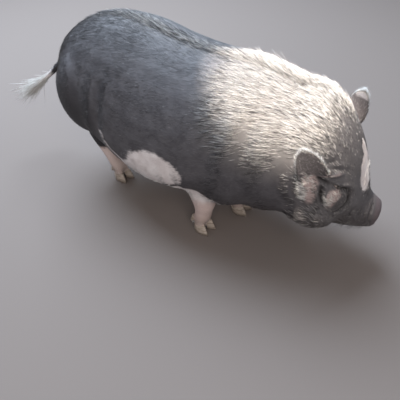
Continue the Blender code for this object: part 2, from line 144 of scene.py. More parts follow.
def straighten(points):
    """Where each point lies on a pig with a straight neck."""
    x, y, z = np.asarray(points, float).T
    turn = np.clip(np.arctan2(x - NECK_FROM, NECK_RADIUS - y), 0, NECK_TURN)
    from_x = x - NECK_FROM - NECK_RADIUS * np.sin(turn)
    from_y = y - NECK_RADIUS * (1 - np.cos(turn))
    along = from_x * np.cos(turn) + from_y * np.sin(turn)
    across = from_y * np.cos(turn) - from_x * np.sin(turn)
    return np.stack([NECK_FROM + NECK_RADIUS * turn + along, across, z], 1)


def bend(points):
    """Carries points of the straight pig to their places in the pose."""
    x, y, z = np.asarray(points, float).T
    turn = np.clip((x - NECK_FROM) / NECK_RADIUS, 0, NECK_TURN)
    along = x - NECK_FROM - NECK_RADIUS * turn
    bent_x = NECK_FROM + NECK_RADIUS * np.sin(turn) + along * np.cos(turn) - y * np.sin(turn)
    bent_y = NECK_RADIUS * (1 - np.cos(turn)) + along * np.sin(turn) + y * np.cos(turn)
    return np.stack([bent_x, bent_y, z], 1)


def mirror(points):
    """Carries points of the straight pig to its other side."""
    return points * (1, -1, 1)


def one_side(points, side):
    """Carries points of both sides of the straight pig to one: -1 is the right side, 1 the left."""
    return np.stack([points[:, 0], side * np.abs(points[:, 1]), points[:, 2]], 1)


def middle_of(name):
    """The middle of a solid's box, on the straight pig."""
    low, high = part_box(name)
    return straighten([(low + high) / 2])[0]


def from_eyes(points):
    """How far points of the straight pig are from the middle of the nearer eye."""
    return np.linalg.norm(one_side(points, 1) - EYE, axis=1)


EYE = mirror(middle_of("eye_right"))
EYE_RADIUS = (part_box("eye_right")[1].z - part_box("eye_right")[0].z) / 2
print("eye", EYE.round(4), "radius", round(EYE_RADIUS, 4))

# %% [markdown]
# ## Helpers for mesh numbers
#
# A skin of this many points is quick to shape only when whole arrays are moved at once. These helpers
# read a mesh into arrays, write it back, find its edges and normals, and smooth it.

# %% Arrays in and out of meshes
def points_of(mesh):
    points = np.empty(len(mesh.vertices) * 3)
    mesh.vertices.foreach_get("co", points)
    return points.reshape(-1, 3)


def set_points(mesh, points):
    mesh.vertices.foreach_set("co", np.asarray(points, np.float32).ravel())
    mesh.update()


def triangles_of(mesh):
    mesh.calc_loop_triangles()
    corners = np.empty(len(mesh.loop_triangles) * 3, np.int32)
    mesh.loop_triangles.foreach_get("vertices", corners)
    return corners.reshape(-1, 3)


def unit(vectors):
    return vectors / np.maximum(np.linalg.norm(vectors, axis=1, keepdims=True), 1e-12)


def spread(indices, values, count):
    """Adds each value to the row that its index names."""
    return np.stack([np.bincount(indices, values[:, k], count) for k in range(values.shape[1])], 1)


def normals_of(points, triangles):
    a, b, c = (points[triangles[:, k]] for k in range(3))
    across = np.cross(b - a, c - a)
    total = sum(spread(triangles[:, k], across, len(points)) for k in range(3))
    return unit(total)


def relax(points, edges, share, times):
    """Moves each point by half its share towards the middle of its neighbours, so many times."""
    count = np.bincount(edges.ravel(), minlength=len(points))[:, None]
    for _ in range(times):
        total = spread(edges[:, 0], points[edges[:, 1]], len(points))
        total += spread(edges[:, 1], points[edges[:, 0]], len(points))
        points = points + 0.5 * np.asarray(share).reshape(-1, 1) * (total / count - points)
    return points


def edges_of(mesh):
    ends = np.empty(len(mesh.edges) * 2, np.int32)
    mesh.edges.foreach_get("vertices", ends)
    return ends.reshape(-1, 2)


def ease(value, start, end):
    """0 up to the start, 1 from the end, and a smooth rise between."""
    t = np.clip((value - start) / (end - start), 0, 1)
    return t * t * (3 - 2 * t)


def add_attribute(mesh, name, values):
    """Stores one number, or one vector, for each point."""
    values = np.asarray(values, np.float32)
    kind, key = ("FLOAT_VECTOR", "vector") if values.ndim == 2 else ("FLOAT", "value")
    mesh.attributes.new(name, kind, "POINT").data.foreach_set(key, values.ravel())


def select_only(obj):
    bpy.ops.object.select_all(action="DESELECT")
    obj.select_set(True)
    bpy.context.view_layer.objects.active = obj


def apply_all(obj):
    select_only(obj)
    for modifier in list(obj.modifiers):
        bpy.ops.object.modifier_apply(modifier=modifier.name)


# %% [markdown]
# ## One skin over all the flesh
#
# The flesh is many solids with thin cuts between them, so that each has a name. Real hide has no such
# cuts. Copies of the solids are swelled by a millimetre to close the cuts and joined, and a voxel remesh
# turns them into one closed skin. Claws and eyes are part of that mix too, so that the skin runs on under
# them.

# %% Join copies of the solids
SWELL = 0.0010
VOXEL = 0.0030
SAME_POINT = 1e-5

copies = []
for name, node in nodes.items():
    if name == "tail_switch":
        continue
    copy = bpy.data.objects.new(f"{name}_copy", node.data.copy())
    bpy.context.scene.collection.objects.link(copy)
    select_only(copy)
    bpy.ops.object.mode_set(mode="EDIT")
    bpy.ops.mesh.select_all(action="SELECT")
    bpy.ops.mesh.remove_doubles(threshold=SAME_POINT)
    bpy.ops.object.mode_set(mode="OBJECT")
    swell = copy.modifiers.new("swell", "DISPLACE")
    swell.mid_level = 0
    swell.strength = SWELL
    apply_all(copy)
    copies.append(copy)
for copy in copies:
    copy.select_set(True)
bpy.ops.object.join()
skin = bpy.context.object
skin.name = "skin"
skin.data.materials.clear()
remesh = skin.modifiers.new("one_skin", "REMESH")
remesh.mode = "VOXEL"
remesh.voxel_size = VOXEL
apply_all(skin)
print("skin after the remesh:", len(skin.data.polygons), "faces")

# %% [markdown]
# ## Fineness where it counts
#
# Lids and wrinkles need small faces, and the flanks do not. First the skin is smoothed until the facets
# of the solids are gone, but much less at head, feet and tail, so that ears and legs keep their shape. A
# Decimate with a vertex group then thins all that lies behind the head and leaves the head alone. Last,
# subdivisions in edit mode halve the edges of the face, and twice more those round the eyes.

# %% Smooth and thin
EARS = ("ear_left", "ear_right")
SMOOTHINGS = 36
THIN_WEIGHT, THIN_RATIO, THIN_FACTOR = 0.3, 0.268, 10
LEAST_WEIGHT = 0.003
FAR = 9.0
ROWS_AT_ONCE = 200


def near_box(points, name, margin):
    """Which points lie within a solid's box and this margin round it."""
    low, high = (np.array(corner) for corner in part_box(name))
    return ((points > low - margin) & (points < high + margin)).all(axis=1)


def near_solid(points, name, reach):
    """Which points lie within this reach of a corner of a solid, for small solids with many corners."""
    found = near_box(points, name, reach)
    corners = points_of(nodes[name].data)
    picked = points[found]
    gaps = np.full(len(picked), FAR)
    for start in range(0, len(corners), ROWS_AT_ONCE):
        away = picked[:, None] - corners[None, start : start + ROWS_AT_ONCE]
        gaps = np.minimum(gaps, np.linalg.norm(away, axis=2).min(axis=1))
    found[found] = gaps < reach
    return found


def is_face(points):
    """Which points lie round the eyes, muzzle and mouth. The throat and jowls have no fine folds."""
    x, _, z = straighten(points).T
    return (x > 0.402) & (z < 0.31) & (z > np.where(x < 0.440, 0.150, 0.098))


def head_share(points):
    """1 on the head and 0 behind it, for points of the straight pig."""
    return ease(points[:, 0], 0.34, 0.37)


def thin_parts(points):
    """1 on head, feet and tail, 0 on the smooth masses of the body."""
    feet = 1 - ease(points[:, 2], 0.075, 0.110)
    tail = ease(-points[:, 0], 0.335, 0.360)
    return np.maximum(np.maximum(head_share(straighten(points)), feet), tail)


points = points_of(skin.data)
points = relax(points, edges_of(skin.data), 1 - 0.8 * thin_parts(points), SMOOTHINGS)
set_points(skin.data, points)

group = skin.vertex_groups.new(name="thin_out")
for index, weight in enumerate(THIN_WEIGHT * (1 - head_share(straighten(points)))):
    if weight > LEAST_WEIGHT:
        group.add([index], weight, "REPLACE")
thin = skin.modifiers.new("thin_out", "DECIMATE")
thin.ratio = THIN_RATIO
thin.vertex_group = "thin_out"
thin.vertex_group_factor = THIN_FACTOR
apply_all(skin)
skin.vertex_groups.clear()
print("skin after thinning:", len(triangles_of(skin.data)), "triangles")

# %% Subdivide the face
def halve(chosen_points):
    """Halves the edges of the faces whose first corner is chosen, and leaves triangles only."""
    corner_of = np.empty(len(skin.data.loops), np.int32)
    skin.data.loops.foreach_get("vertex_index", corner_of)
    starts = np.empty(len(skin.data.polygons), np.int32)
    skin.data.polygons.foreach_get("loop_start", starts)
    bpy.context.tool_settings.mesh_select_mode = (False, False, True)
    bpy.ops.object.mode_set(mode="EDIT")
    bpy.ops.mesh.select_all(action="DESELECT")
    bpy.ops.object.mode_set(mode="OBJECT")
    skin.data.polygons.foreach_set("select", chosen_points[corner_of[starts]])
    bpy.ops.object.mode_set(mode="EDIT")
    bpy.ops.mesh.subdivide(number_cuts=1)
    bpy.ops.mesh.select_all(action="SELECT")
    bpy.ops.mesh.quads_convert_to_tris()
    bpy.ops.object.mode_set(mode="OBJECT")


halve(is_face(points_of(skin.data)))
for reach in (0.0210, 0.0160):
    halve(from_eyes(straighten(points_of(skin.data))) < reach)
print("skin after subdividing the face:", len(skin.data.polygons), "triangles")

# %% [markdown]
# ## From solid to living skin
#
# The solids reach out to the tips of the coat, so the skin lies inside them by the coat's depth: most at
# the crest of the neck, least on muzzle, ears and feet. The folds come next. A groove is pressed in along
# a smooth path drawn in side view or front view, and its lips rise a little on both sides, as pressed
# flesh does. Its bottom is marked as well, for painted shade.

# %% Draw the skin in by the coat's depth
mesh = skin.data
edges, triangles = edges_of(mesh), triangles_of(mesh)
places = straighten(points_of(mesh))
in_ear = {name: near_solid(bend(places), name, 0.0075) & (places[:, 2] > 0.285) for name in EARS}
ear_share = relax(sum(in_ear.values()).astype(float)[:, None], edges, 1.0, 8)[:, 0].clip(0, 1)
on_leg = sum(near_box(bend(places), name, 0.004) for name in nodes if "leg_" in name) > 0
leg_share = relax(on_leg.astype(float)[:, None], edges, 1.0, 8)[:, 0].clip(0, 1)

places = relax(places, edges, 0.6 * ease(places[:, 0], 0.36, 0.40) * (1 - 0.7 * ear_share), 5)
normals = normals_of(places, triangles)
spine = np.exp(-((places[:, 1] / 0.035) ** 2)) * ease(places[:, 2], 0.36, 0.40)
depth = 0.0045 + 0.0040 * spine * ease(places[:, 0], -0.15, 0.20)
for share, thickness in (
    (ease(places[:, 0], 0.37, 0.42), 0.0028),
    (ease(places[:, 0], 0.48, 0.52), 0.0012),
    (ease(-places[:, 0], 0.33, 0.36), 0.0022),
    (leg_share, 0.0022),
    (1 - ease(places[:, 2], 0.03, 0.06), 0.0012),
    (ear_share, 0.0014),
):
    depth = depth + share * (thickness - depth)
places = places - normals * (SWELL + depth)[:, None]
print("coat depth from", round(depth.min(), 4), "to", round(depth.max(), 4))

# %% Grooves and swellings
SIDE_VIEW, FRONT_VIEW = (0, 2), (1, 2)
fold = np.zeros(len(places))


def smooth_path(stops, steps=8):
    """Points along a smooth curve through the stops."""
    stops = np.asarray(stops, float)
    ends = np.vstack([2 * stops[0] - stops[1], stops, 2 * stops[-1] - stops[-2]])
    t = np.linspace(0, 1, steps, endpoint=False)[:, None]
    made = []
    for before, here, there, after in zip(ends, ends[1:], ends[2:], ends[3:]):
        slope = (there - before) * t + (2 * before - 5 * here + 4 * there - after) * t**2
        made.append(here + 0.5 * (slope + (3 * here - before - 3 * there + after) * t**3))
    return np.vstack([*made, stops[-1:]])


def from_path(flat, stops):
    """How far each point is from the path, and how far along it its nearest place is, from 0 to 1."""
    path = smooth_path(stops)
    gap, along = np.full(len(flat), FAR), np.zeros(len(flat))
    for i, (one, other) in enumerate(zip(path, path[1:])):
        run = other - one
        t = np.clip((flat - one) @ run / (run @ run), 0, 1)
        away = np.linalg.norm(flat - one - t[:, None] * run, axis=1)
        nearer = away < gap
        gap[nearer], along[nearer] = away[nearer], (i + t[nearer]) / (len(path) - 1)
    return gap, along


def facing(view):
    """1 where the skin faces that view, 0 where it turns away. In side view each half has its own side."""
    towards = normals[:, 0] if view == FRONT_VIEW else normals[:, 1] * np.sign(places[:, 1])
    return ease(towards, 0.05, 0.35)


def groove(stops, width, deep, lip=0.35, view=SIDE_VIEW, dark=1.0):
    """Presses a fold into both halves of the skin along a path, with a raised lip along each side and
    painted shade.
    """
    global places, fold
    flat = np.abs(places) if view == FRONT_VIEW else places
    gap, along = from_path(flat[:, list(view)], stops)
    share = facing(view) * np.sin(np.pi * along.clip(0.02, 0.98)) ** 0.5
    share = share * (1 - ease(gap, 3 * width, 4 * width))
    bottom = np.exp(-((gap / width) ** 2))
    lips = np.exp(-(((gap - 2 * width) / width) ** 2))
    places = places + normals * (share * deep * (lip * lips - bottom))[:, None]
    fold = np.maximum(fold, dark * share * bottom)


def swelling(middle, sizes, high):
    """Raises, or sinks, the skin in a soft mound on both halves of the head or body."""
    global places
    for half in (places, mirror(places)):
        reach = np.linalg.norm((half - middle) / sizes, axis=1)
        places = places + normals * (high * (1 - ease(reach, 0, 1)))[:, None]


# %% [markdown]
# A pot-bellied pig's face is all folds. A heavy brow hangs over the eye, a deep fold runs past the eye
# from the ear to the muzzle, and below it two cheek pads sit side by side with a furrow between them.
# Short wrinkles cross the nose. The body has softer ones: behind the jowl, behind the elbow, and where
# the thigh meets the flank. Sculpting by hand would do too, but a path with a width and a depth can be
# moved and read again.

# %% Pads of the face
for middle, sizes, high in (
    ((0.430, -0.106, 0.222), (0.026, 0.030, 0.032), 0.0065),  # the front cheek pad
    ((0.379, -0.124, 0.250), (0.024, 0.030, 0.038), 0.0060),  # the rear cheek pad, under the ear
    ((0.424, -0.104, 0.280), (0.034, 0.030, 0.013), 0.0055),  # the brow
    ((0.412, -0.106, 0.304), (0.026, 0.030, 0.014), -0.0045),  # the hollow over the brow
    ((0.470, -0.060, 0.185), (0.030, 0.030, 0.024), 0.0040),  # the side of the muzzle
    ((0.395, -0.100, 0.165), (0.050, 0.045, 0.040), 0.0050),  # the jowl
):
    swelling(middle, sizes, high)
normals = normals_of(places, triangles)
print("pads raised; the skin's points:", len(places))

# %% Folds of the face, each with its stops, width, depth, lip and painted shade
for stops, width, deep, lip, dark in (
    # from the ear to the eye, and on from the eye to the muzzle
    ([(0.388, 0.276), (0.398, 0.271), (0.41, 0.263), (0.423, 0.2525)], 0.0042, 0.0085, 0.3, 1),
    ([(0.435, 0.245), (0.446, 0.2425), (0.456, 0.236), (0.462, 0.226)], 0.004, 0.0075, 0.3, 1),
    # between the cheek pads, before the front one and behind the rear one
    ([(0.402, 0.262), (0.404, 0.245), (0.407, 0.225), (0.414, 0.205), (0.426, 0.19)], .0045, .007, .35, 1),
    ([(0.457, 0.24), (0.463, 0.222), (0.462, 0.2), (0.452, 0.18), (0.437, 0.166)], 0.005, 0.006, 0.4, 1),
    ([(0.366, 0.275), (0.36, 0.25), (0.364, 0.222), (0.38, 0.2)], 0.007, 0.005, 0.3, 0.6),
    # over the brow
    ([(0.392, 0.287), (0.41, 0.293), (0.43, 0.29), (0.447, 0.28)], 0.004, 0.0035, 0.3, 0.6),
    # the mouth line, and its corner
    ([(0.556, 0.106), (0.52, 0.11), (0.485, 0.116), (0.466, 0.124), (0.452, 0.14)], 0.0022, 0.005, 0.3, 1),
    ([(0.452, 0.14), (0.438, 0.144), (0.424, 0.14)], 0.004, 0.003, 0.3, 0.5),
    # down the side of the muzzle
    ([(0.526, 0.175), (0.521, 0.155), (0.52, 0.135), (0.524, 0.118)], 0.003, 0.0022, 0.2, 0.5),
    ([(0.503, 0.172), (0.497, 0.152), (0.495, 0.13)], 0.0034, 0.0022, 0.4, 0.5),
    ([(0.482, 0.178), (0.477, 0.158), (0.476, 0.14)], 0.004, 0.0026, 0.4, 0.5),
):
    groove(stops, width, deep, lip, dark=dark)

for height, reach, deep in (  # the wrinkles across the nose
    (0.188, 0.036, 0.0020),
    (0.203, 0.044, 0.0030),
    (0.221, 0.050, 0.0034),
    (0.241, 0.046, 0.0026),
):
    arch = [(0, height + 0.006), (reach * 0.5, height + 0.004), (reach, height - 0.008)]
    groove([(-reach * 0.5, arch[1][1]), *arch], 0.0032, deep, 0.5, view=FRONT_VIEW, dark=0.5)
FROWN = [(0.016, 0.262), (0.020, 0.290), (0.028, 0.325)]
groove(FROWN, 0.0045, 0.0020, 0.4, view=FRONT_VIEW, dark=0.3)

# %% Folds of the body
for stops, width, deep, lip, dark in (
    # behind the jowl, and where the neck meets the shoulder
    ([(0.33, 0.345), (0.338, 0.3), (0.333, 0.25), (0.338, 0.2), (0.36, 0.15)], 0.018, 0.0028, 0.4, 0.1),
    ([(0.278, 0.375), (0.268, 0.345), (0.262, 0.3), (0.256, 0.25), (0.24, 0.19)], 0.016, 0.003, 0.4, 0.1),
    # behind the elbow
    ([(0.12, 0.22), (0.118, 0.18), (0.128, 0.14), (0.14, 0.115)], 0.012, 0.003, 0.3, 0.15),
    # where the thigh meets the flank, and the faint end of that fold above
    ([(-0.1, 0.33), (-0.108, 0.28), (-0.112, 0.23), (-0.1, 0.18)], 0.016, 0.0045, 0.4, 0.15),
    ([(-0.098, 0.375), (-0.106, 0.345), (-0.104, 0.32)], 0.014, 0.002, 0.4, 0.1),
):
    groove(stops, width, deep, lip, dark=dark)
normals = normals_of(places, triangles)
print("points in a deep fold:", int((fold > 0.5).sum()))

# %% [markdown]
# ## Lids
#
# The eyeball sits deep, and only a narrow almond of it shows. Round each eye the skin is set by its
# distance from the almond's edge: inside, it drops behind the eyeball; at the edge, it stands as a thick
# lid; further out, it follows the ball and then runs into the face.

# %% Lids round each eye
BALL_RADIUS = 0.0098
BALL_SUNK = 0.0012
LID_HALF_LENGTH, LID_HALF_HEIGHT = 0.0074, 0.0030
LID_STAND = 0.0012
LID_REACH = 0.024
SLIT_DROP = 0.0022
ROLL_OUT, CREASE_OUT = 0.0034, 0.0064
LOOK_AHEAD = (0.15, 0, 0.10)
SLIT_WAY = np.array([0.87, 0.0, -0.42])
lid = np.zeros(len(places))


def open_lids(side):
    """Shapes the lids of one eye, and returns its ball's middle and the way that it looks."""
    global places
    middle = EYE * (1, side, 1)
    near = np.linalg.norm(places - middle, axis=1) < LID_REACH
    look = unit(normals[near].mean(axis=0)[None])[0]
    look = unit((look + LOOK_AHEAD)[None])[0]
    middle = middle - look * BALL_SUNK
    slit = unit((SLIT_WAY - SLIT_WAY @ look * look)[None])[0]
    rise = np.cross(look, slit)
    rise = rise * np.sign(rise[2])
    away = places[near] - middle
    gap = np.linalg.norm(away, axis=1)
    way = away / gap[:, None]
    along, above, ahead = way @ slit * BALL_RADIUS, way @ rise * BALL_RADIUS, way @ look
    corner = np.hypot(along / LID_HALF_LENGTH, above / LID_HALF_HEIGHT)
    out = (corner - 1) * LID_HALF_HEIGHT
    snap = 1 + (np.abs(out) < 0.00030) * (1 / np.maximum(corner, 0.1) - 1)
    in_slit = (along * snap)[:, None] * slit + (above * snap)[:, None] * rise
    way = unit(in_slit + (ahead * BALL_RADIUS)[:, None] * look)
    heavy = 0.0010 * ease(above, 0.0, 0.0030)
    shell = BALL_RADIUS - SLIT_DROP + (LID_STAND + heavy + SLIT_DROP) * ease(out, -0.0006, 0.0009)
    shell = shell + 0.0011 * np.exp(-(((out - ROLL_OUT) / 0.0018) ** 2))
    shell = shell - 0.0013 * np.exp(-(((out - CREASE_OUT) / 0.0013) ** 2))
    keep = np.where(ahead > 0.05, ease(np.hypot(along, above * 1.25), 0.0088, 0.0100), 1.0)
    keep = np.where(gap > 0.0165, 1.0, keep)
    places[near] = middle + way * (shell + keep * (gap - shell))[:, None]
    front = (ahead > 0.2) * (1 - keep)
    crease = front * np.exp(-(((out - CREASE_OUT) / 0.0016) ** 2))
    edge = front * (1 - ease(np.abs(out - 0.0006), 0.0004, 0.0014))
    inside = front * (1 - ease(out, 0.0, 0.0012))
    # The inside of the slit and the crease round the lid are marked for painted shade.
    fold[near] = np.maximum(fold[near], np.maximum(0.7 * crease, inside))
    lid[near] = np.maximum(lid[near], edge * (above > 0.0005))
    return middle, look


balls = {side: open_lids(side) for side in (-1, 1)}
soften = head_share(places) * (0.4 + 0.6 * ear_share)
places = relax(places, edges, soften, 1)
places = relax(places, edges, ear_share, 3)
normals = normals_of(places, triangles)
print("the right eye looks along", balls[-1][1].round(2))

# %% [markdown]
# ## Markings
#
# The hide is slate grey under black and silver bristles. On neck and shoulders the silver bristles and the
# paler hide under them are partly painted sunlight. The feet, the underside, a patch low on the flank, a
# blaze down the face and the end of the tail are white, and the left ear's tip is white as painted
# sunlight. Each marking is a number from 0 to 1 at each place, and skin and bristles both look it up, so
# hair and hide always agree.
# The rim of an ear is found from its outline: a place is on the rim when it lies nearly as far from the
# ear's middle as the outline does in that direction.

# %% Numbers for each marking
def mound(points, middle, sizes):
    """1 in the middle of an ellipsoid, 0 on its surface, and below 0 outside."""
    return 1 - np.linalg.norm((points - middle) / sizes, axis=1)


def along_path(points, stops, width):
    """1 on a path drawn in side view, on the right, and 0 at this distance from it."""
    gap, _ = from_path(points[:, [0, 2]], stops)
    return np.where(points[:, 1] < -0.05, 1 - gap / width, -1)


def white_at(points, leg):
    """How far the coat carries its pale markings, from 0 to 1."""
    x, _, z = points.T
    both = one_side(points, -1)
    found = mound(points, (0.070, -0.190, 0.205), (0.080, 0.060, 0.052))
    found = np.maximum(found, mound(points, (0.020, -0.170, 0.165), (0.070, 0.060, 0.050)))
    found = np.maximum(found, mound(mirror(points), (0.050, -0.180, 0.165), (0.090, 0.070, 0.050)))
    found = np.maximum(found, mound(both, (0.110, -0.060, 0.085), (0.170, 0.140, 0.070)))
    found = np.maximum(found, mound(both, (0.150, -0.150, 0.125), (0.080, 0.060, 0.045)))
    fold_edge = [(-0.098, 0.246), (-0.088, 0.230), (-0.068, 0.208), (-0.030, 0.188)]
    found = np.maximum(found, along_path(points, fold_edge, 0.0050))
    found = np.maximum(found, mound(points, (0.480, -0.022, 0.248), (0.060, 0.034, 0.052)))
    found = np.maximum(found, mound(points, (0.472, -0.014, 0.292), (0.050, 0.013, 0.032)))
    hair = ease(found, -0.18, 0.30)
    sock = leg * (1 - ease(z, np.where(x > 0, 0.088, 0.078), np.where(x > 0, 0.136, 0.122)))
    tail = ease(-x, 0.385, 0.420)
    return np.maximum(np.maximum(hair, sock), tail)


def pink_at(points):
    """Where pale hair over pink skin shows: the pads under ear and eye, and the brow's edge."""
    both = one_side(points, -1)
    found = mound(both, (0.380, -0.125, 0.258), (0.021, 0.040, 0.036))
    found = np.maximum(found, mound(both, (0.386, -0.120, 0.225), (0.016, 0.040, 0.034)) * 0.7)
    found = np.maximum(found, mound(both, (0.431, -0.107, 0.226), (0.019, 0.040, 0.027)))
    found = np.maximum(found, mound(both, (0.428, -0.107, 0.204), (0.016, 0.040, 0.026)) * 0.6)
    found = np.maximum(found, mound(both, (0.414, -0.110, 0.281), (0.038, 0.040, 0.0060)) * 0.40)
    return ease(found, -0.10, 0.60)


# How much of the mantle over neck and shoulders is silver: partly real grizzle, partly painted sunlight.
MANTLE_SILVER_AND_SUNLIGHT = 0.62


def silver_and_sunlight_at(points):
    """Where silvery bristles are thick: crest, neck and shoulders; on neck and shoulders also painted
    sunlight.
    """
    x, y, z = points.T
    crest = np.exp(-((y / 0.030) ** 2)) * ease(z, 0.33, 0.37) * ease(x, -0.25, -0.05)
    mantle = ease(mound(points * (1, 0.6, 1), (0.310, 0, 0.375), (0.210, 0.200, 0.165)), 0.0, 0.55)
    mantle = mantle * (1 - 0.7 * ease(x, 0.395, 0.430))
    grizzled = ease(x, 0.33, 0.39) * (0.20 - 0.14 * ease(x, 0.46, 0.52))
    crest = crest * (0.34 + 0.28 * ease(x, 0.10, 0.25))
    return np.maximum(np.maximum(crest, MANTLE_SILVER_AND_SUNLIGHT * mantle), grizzled)


# %% Grain along the spine
# The middle of the body at the stations of the solids: the place along X, and the height.
SPINE_X = (-0.304, -0.248, -0.175, -0.083, 0.018, 0.119, 0.211, 0.290, 0.345, 0.409, 0.451, 0.497, 0.543)
SPINE_Z = (0.294, 0.290, 0.285, 0.271, 0.255, 0.253, 0.258, 0.253, 0.241, 0.204, 0.170, 0.138, 0.121)


def grain_of(points):
    """Places measured along the spine, across it and above it. Streaks drawn in these follow the coat."""
    x, y, z = points.T
    return np.stack([x, y, z - np.interp(x, SPINE_X, SPINE_Z)], 1)


print("the body's middle is", SPINE_Z[0], "m high at the rump and", SPINE_Z[-1], "m at the snout")

# %% Ear rims
EDGE_TURNS = np.linspace(-np.pi, np.pi, 37)
EDGE_WINDOW = 0.16
LEAST_EDGE = 0.02


def ear_frame(name):
    """The corners of an ear's solid, its middle, and its ways across and up."""
    leaf = straighten(points_of(nodes[name].data))
    middle = leaf.mean(axis=0)
    _, _, ways = np.linalg.svd(leaf - middle, full_matrices=False)
    return leaf, middle, ways[1], ways[0] * np.sign(ways[0][2])


def rim_and_tip(points, name):
    """Two numbers: 1 at the ear's edge and 0 well inside it; 1 at its tip and 0 at its root."""
    leaf, middle, across, up = ear_frame(name)

    def around(places):
        """The angle and the distance from the ear's middle, in the plane of its leaf."""
        flat = places - middle
        return np.arctan2(flat @ up, flat @ across), np.hypot(flat @ up, flat @ across)

    angle, reach = around(leaf)
    edge = []
    for turn in EDGE_TURNS:
        gap = np.abs((angle - turn + np.pi) % (2 * np.pi) - np.pi)
        edge.append(reach[gap < EDGE_WINDOW].max(initial=LEAST_EDGE))
    angle, reach = around(points)
    above = (points - middle) @ up / (leaf - middle).dot(up).max()
    rim = ease(reach / np.interp(angle, EDGE_TURNS, edge), 0.74, 0.88) * ease(above, -0.95, -0.6)
    return rim, ease(above, 0.35, 0.80)


rim, ear_tip_painted_sun = np.zeros(len(places)), np.zeros(len(places))
for name in EARS:
    found = in_ear[name]
    rim[found], ear_tip_painted_sun[found] = rim_and_tip(places[found], name)
# Only the left ear keeps its tip, painted white as sunlight; that ear keeps its pale rim mostly near the
# tip.
ear_tip_painted_sun[in_ear["ear_right"]] = 0
rim[in_ear["ear_left"]] *= 0.25 + 0.75 * ear_tip_painted_sun[in_ear["ear_left"]]
rim = relax(rim[:, None], edges, 1.0, 3)[:, 0]

# White markings, with the left ear's tip added as painted sunlight.
white = np.maximum(white_at(places, leg_share), ear_tip_painted_sun)
pink = pink_at(places)
# Silver on crest, neck and shoulders; on neck and shoulders it is also painted sunlight.
silver_and_sunlight = silver_and_sunlight_at(places)
set_points(mesh, bend(places))
select_only(skin)
bpy.ops.object.shade_smooth()
for name, values in (
    ("place", places), ("white", white), ("pink", pink), ("silver_and_sunlight", silver_and_sunlight),
    ("fold", fold), ("rim", rim), ("leg", leg_share), ("ear", ear_share), ("grain", grain_of(places)),
):
    add_attribute(mesh, name, values)
print("white on", round(float((white > 0.5).mean()), 3), "of the skin's points")

# %% [markdown]
# ## A flat pattern of the skin
#
# To bake the paint into a picture, each face needs its place on a flat sheet. A skin has no seams to
# follow, so a smart projection cuts it where it turns sharply. Each bristle later takes a small patch of
# the same sheet.

# %% Unwrap the skin
bpy.ops.object.mode_set(mode="EDIT")
bpy.ops.mesh.select_all(action="SELECT")
bpy.ops.uv.smart_project(angle_limit=math.radians(70), island_margin=0.001)
bpy.ops.object.mode_set(mode="OBJECT")
mesh.uv_layers[0].name = "OFBake"
print("unwrapped", len(mesh.polygons), "faces")

# %% [markdown]
# ## The lie of the coat
#
# Pig bristles lie backwards along the spine. On the flanks they also sink a little, on the legs they
# point down, on the ears to the tip, and at the rump they sink towards the tail. The spine itself dips
# towards the head, so on a lowered neck the hair climbs back up to the shoulders. `lie_at` gives this
# direction at any place.

# %% Which way the bristles lie
SPINE_DIP = (-10, -6, -3, 0, 0, 0, 4, 12, 20, 35, 42, 34, 20)
TAIL_WAY = unit(np.array([[-0.72, -0.33, -0.61]]))[0]
FLANK_SINK, RUMP_SINK = 0.42, 0.45


def lie_at(points, facings, leg, ear):
    """The direction from root to tip, laid flat on the skin."""
    dip = np.radians(np.interp(points[:, 0], SPINE_X, SPINE_DIP))
    way = np.stack([-np.cos(dip), 0 * dip, np.sin(dip)], 1)
    sideways = np.abs(facings[:, 1]) * (1 - ease(points[:, 0], 0.30, 0.42))
    way[:, 2] -= FLANK_SINK * sideways
    way[:, 2] -= RUMP_SINK * ease(-points[:, 0], 0.20, 0.34)
    way = way + leg[:, None] * (np.array([0.0, 0.0, -1.0]) - way)
    tail = ease(-points[:, 0], 0.345, 0.360)[:, None]
    way = way + tail * (TAIL_WAY - way)
    for name in EARS:
        up = ear_frame(name)[3]
        way = np.where(ear[name][:, None], up, way)
    laid_flat = 1 - 0.85 * ease(-points[:, 0], 0.385, 0.425)[:, None]
    way = way - laid_flat * (way * facings).sum(axis=1, keepdims=True) * facings
    return unit(way)


# %% [markdown]
# ## Growing bristles
#
# One bristle is a thin three-sided spike: a ring at the root, more rings where it has to curl, and a
# point. Its root is sunk in the skin, it leaves at a low angle and curls back to the body. Hair particles
# would be easier, but they are lost when the model leaves Blender, and a mesh is not. So every coat piece
# is one mesh of thousands, made from arrays. Each bristle carries the numbers of its root, so it takes
# the marking that it grows from.

# %% Roots on the skin
corners = places[triangles]
areas = 0.5 * np.linalg.norm(np.cross(corners[:, 1] - corners[:, 0], corners[:, 2] - corners[:, 0]), axis=1)
face_places = corners.mean(axis=1)
face_normals = unit(normals[triangles].sum(axis=1))
face_ear = {name: in_ear[name][triangles].all(axis=1) for name in EARS}
face_leg = leg_share[triangles].mean(axis=1)
face_rim = rim[triangles].mean(axis=1)
face_fold = fold[triangles].mean(axis=1)
unwrap = np.empty(len(mesh.uv_layers[0].uv) * 2)
mesh.uv_layers[0].uv.foreach_get("vector", unwrap)
face_uv = unwrap.reshape(-1, 3, 2)
print("skin area", round(areas.sum(), 3), "m2,", len(triangles), "triangles")

# %% One bristle, and a mesh of many
RING_SIZES = (0.75, 1.0, 0.8, 0.55)
FLATNESS = 0.55


